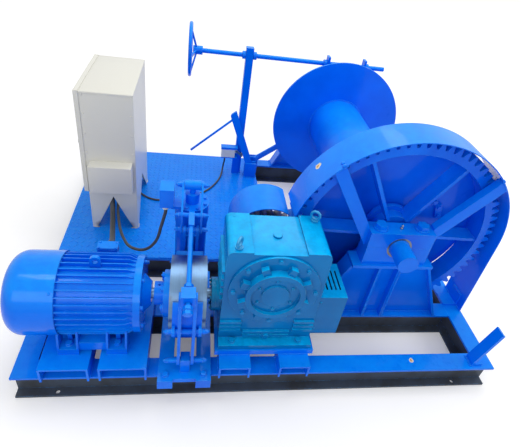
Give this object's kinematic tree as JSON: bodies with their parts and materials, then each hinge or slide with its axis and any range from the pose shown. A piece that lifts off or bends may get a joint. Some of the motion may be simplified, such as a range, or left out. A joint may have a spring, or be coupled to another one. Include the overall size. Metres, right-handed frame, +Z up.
{
  "type": "electric winch",
  "caption": "Electric winch on a welded beam frame: motor, thruster brake, worm gearbox and open gears drive a rope drum with a band brake and a pawl.",
  "frame": {"origin": "centre of the foundation hole pattern, on the underside of the base frame, at floor level", "axes": "+X along the motor line towards the drum side, +Y from the motor side to the hand brake side, +Z up"},
  "size_m": [2.0049, 1.7753, 1.07],
  "materials": {
    "blue_paint": "gloss",
    "deck_paint": "gloss",
    "teal_paint": "gloss",
    "machined_steel": "satin",
    "bronze": "satin",
    "black_plastic": "matte",
    "white_plastic": "gloss",
    "panel_grey": "satin",
    "cable_grey": "matte"
  },
  "bodies": {
    "frame": {"outer_frame": "blue_paint", "cross_members": "blue_paint", "deck_plate": "deck_paint", "motor_stand": "blue_paint", "gearbox_stand": "blue_paint", "front_pedestal": "blue_paint", "rear_pedestal": "blue_paint", "motor_housing": "blue_paint", "motor_end_shields": "blue_paint", "motor_fan_cowl": "blue_paint", "motor_terminal_box": "blue_paint", "motor_stator": "machined_steel", "rolling_bearings": "machined_steel", "brake_base": "blue_paint", "gearbox_housing": "teal_paint", "gearbox_covers": "teal_paint", "gearbox_fan_cowl": "teal_paint", "lifting_eyes": "teal_paint", "pinion_guard": "blue_paint", "gear_guard": "blue_paint", "guard_stays": "blue_paint", "bearing_blocks": "blue_paint", "bearing_caps": "blue_paint", "bolts": "blue_paint", "brake_band": "blue_paint", "deck_posts": "blue_paint", "limit_switch": "white_plastic", "panel_cabinet": "panel_grey", "panel_legs": "panel_grey", "motor_cable": "cable_grey", "thruster_cable": "cable_grey", "switch_cable": "cable_grey"},
    "driveline": {"motor_rotor": "machined_steel", "cooling_fans": "black_plastic", "coupling_half": "blue_paint", "brake_drum": "machined_steel", "worm_shaft": "machined_steel"},
    "wheel_line": {"worm_wheel": "bronze", "output_shaft": "machined_steel", "pinion": "machined_steel"},
    "drum": {"bull_gear": "blue_paint", "drum_barrel": "blue_paint", "drum_front_flange": "blue_paint", "drum_rear_flange": "blue_paint", "rope_clamps": "blue_paint", "main_shaft": "blue_paint"},
    "front_arm": {"front_brake_arm": "blue_paint", "front_brake_shoe": "blue_paint"},
    "rear_arm": {"rear_brake_arm": "blue_paint", "rear_brake_shoe": "blue_paint", "brake_spring": "blue_paint"},
    "lever": {"brake_lever": "blue_paint"},
    "tie_rod": {"brake_tie_rod": "blue_paint"},
    "thruster": {"thruster_body": "blue_paint"},
    "push_rod": {"thruster_rod": "machined_steel"},
    "band_screw": {"band_spindle": "blue_paint", "handwheel": "blue_paint"},
    "pawl": {"pawl_lever": "blue_paint"},
    "switch_lever": {"limit_lever": "machined_steel"},
    "door": {"panel_door": "panel_grey"}
  },
  "joints": [
    {"name": "motor_spin", "type": "hinge", "parent": "frame", "child": "driveline", "pos_m": [-0.36385, -0.65, 0.38], "axis": [1, 0, 0], "continuous": true},
    {"name": "wheel_spin", "type": "hinge", "parent": "frame", "child": "wheel_line", "pos_m": [-0.04985, -0.65, 0.517], "axis": [0, 1, 0], "continuous": true},
    {"name": "drum_spin", "type": "hinge", "parent": "frame", "child": "drum", "pos_m": [0.507, 0, 0.566], "axis": [0, 1, 0], "continuous": true},
    {"name": "front_arm_pivot", "type": "hinge", "parent": "frame", "child": "front_arm", "pos_m": [-0.36385, -0.83, 0.2], "axis": [1, 0, 0], "range_deg": [0, 0.6]},
    {"name": "rear_arm_pivot", "type": "hinge", "parent": "frame", "child": "rear_arm", "pos_m": [-0.36385, -0.47, 0.2], "axis": [1, 0, 0], "range_deg": [-0.6, 0]},
    {"name": "lever_pivot", "type": "hinge", "parent": "rear_arm", "child": "lever", "pos_m": [-0.36385, -0.485, 0.57], "axis": [1, 0, 0], "range_deg": [0, 7]},
    {"name": "tie_rod_pivot", "type": "hinge", "parent": "lever", "child": "tie_rod", "pos_m": [-0.36385, -0.475, 0.635], "axis": [1, 0, 0], "range_deg": [-6.3, 0]},
    {"name": "thruster_tilt", "type": "hinge", "parent": "frame", "child": "thruster", "pos_m": [-0.36385, -0.38, 0.182], "axis": [1, 0, 0], "range_deg": [0, 1.4], "deforming": ["thruster_cable"]},
    {"name": "thruster_lift", "type": "slide", "parent": "thruster", "child": "push_rod", "axis": [0, 0, 1], "range_m": [0, 0.011]},
    {"name": "handwheel_turn", "type": "hinge", "parent": "frame", "child": "band_screw", "pos_m": [-0.36, 0.674, 0.922], "axis": [1, 0, 0], "range_deg": [-360, 360]},
    {"name": "pawl_swing", "type": "hinge", "parent": "frame", "child": "pawl", "pos_m": [0.008, 0.623, 0.202], "axis": [0, 1, 0], "range_deg": [0, 37.5]},
    {"name": "switch_lever_turn", "type": "hinge", "parent": "frame", "child": "switch_lever", "pos_m": [-0.0925, 0.623, 0.322], "axis": [0, 1, 0], "range_deg": [-15.1, 0]},
    {"name": "door_hinge", "type": "hinge", "parent": "frame", "child": "door", "pos_m": [-0.894, 0.515, 0.6], "axis": [0, 0, 1], "range_deg": [-110, 0]}
  ],
  "couplings": [
    {"joint": "wheel_spin", "follows": "motor_spin", "ratio": 0.033333},
    {"joint": "drum_spin", "follows": "motor_spin", "ratio": -0.007619},
    {"joint": "front_arm_pivot", "follows": "thruster_lift", "rad_per_m": 0.88454},
    {"joint": "rear_arm_pivot", "follows": "thruster_lift", "rad_per_m": -0.88454},
    {"joint": "lever_pivot", "follows": "thruster_lift", "rad_per_m": 10.951},
    {"joint": "tie_rod_pivot", "follows": "thruster_lift", "rad_per_m": -9.8526},
    {"joint": "thruster_tilt", "follows": "thruster_lift", "rad_per_m": 2.1835},
    {"joint": "switch_lever_turn", "follows": "pawl_swing", "ratio": -0.4}
  ]
}
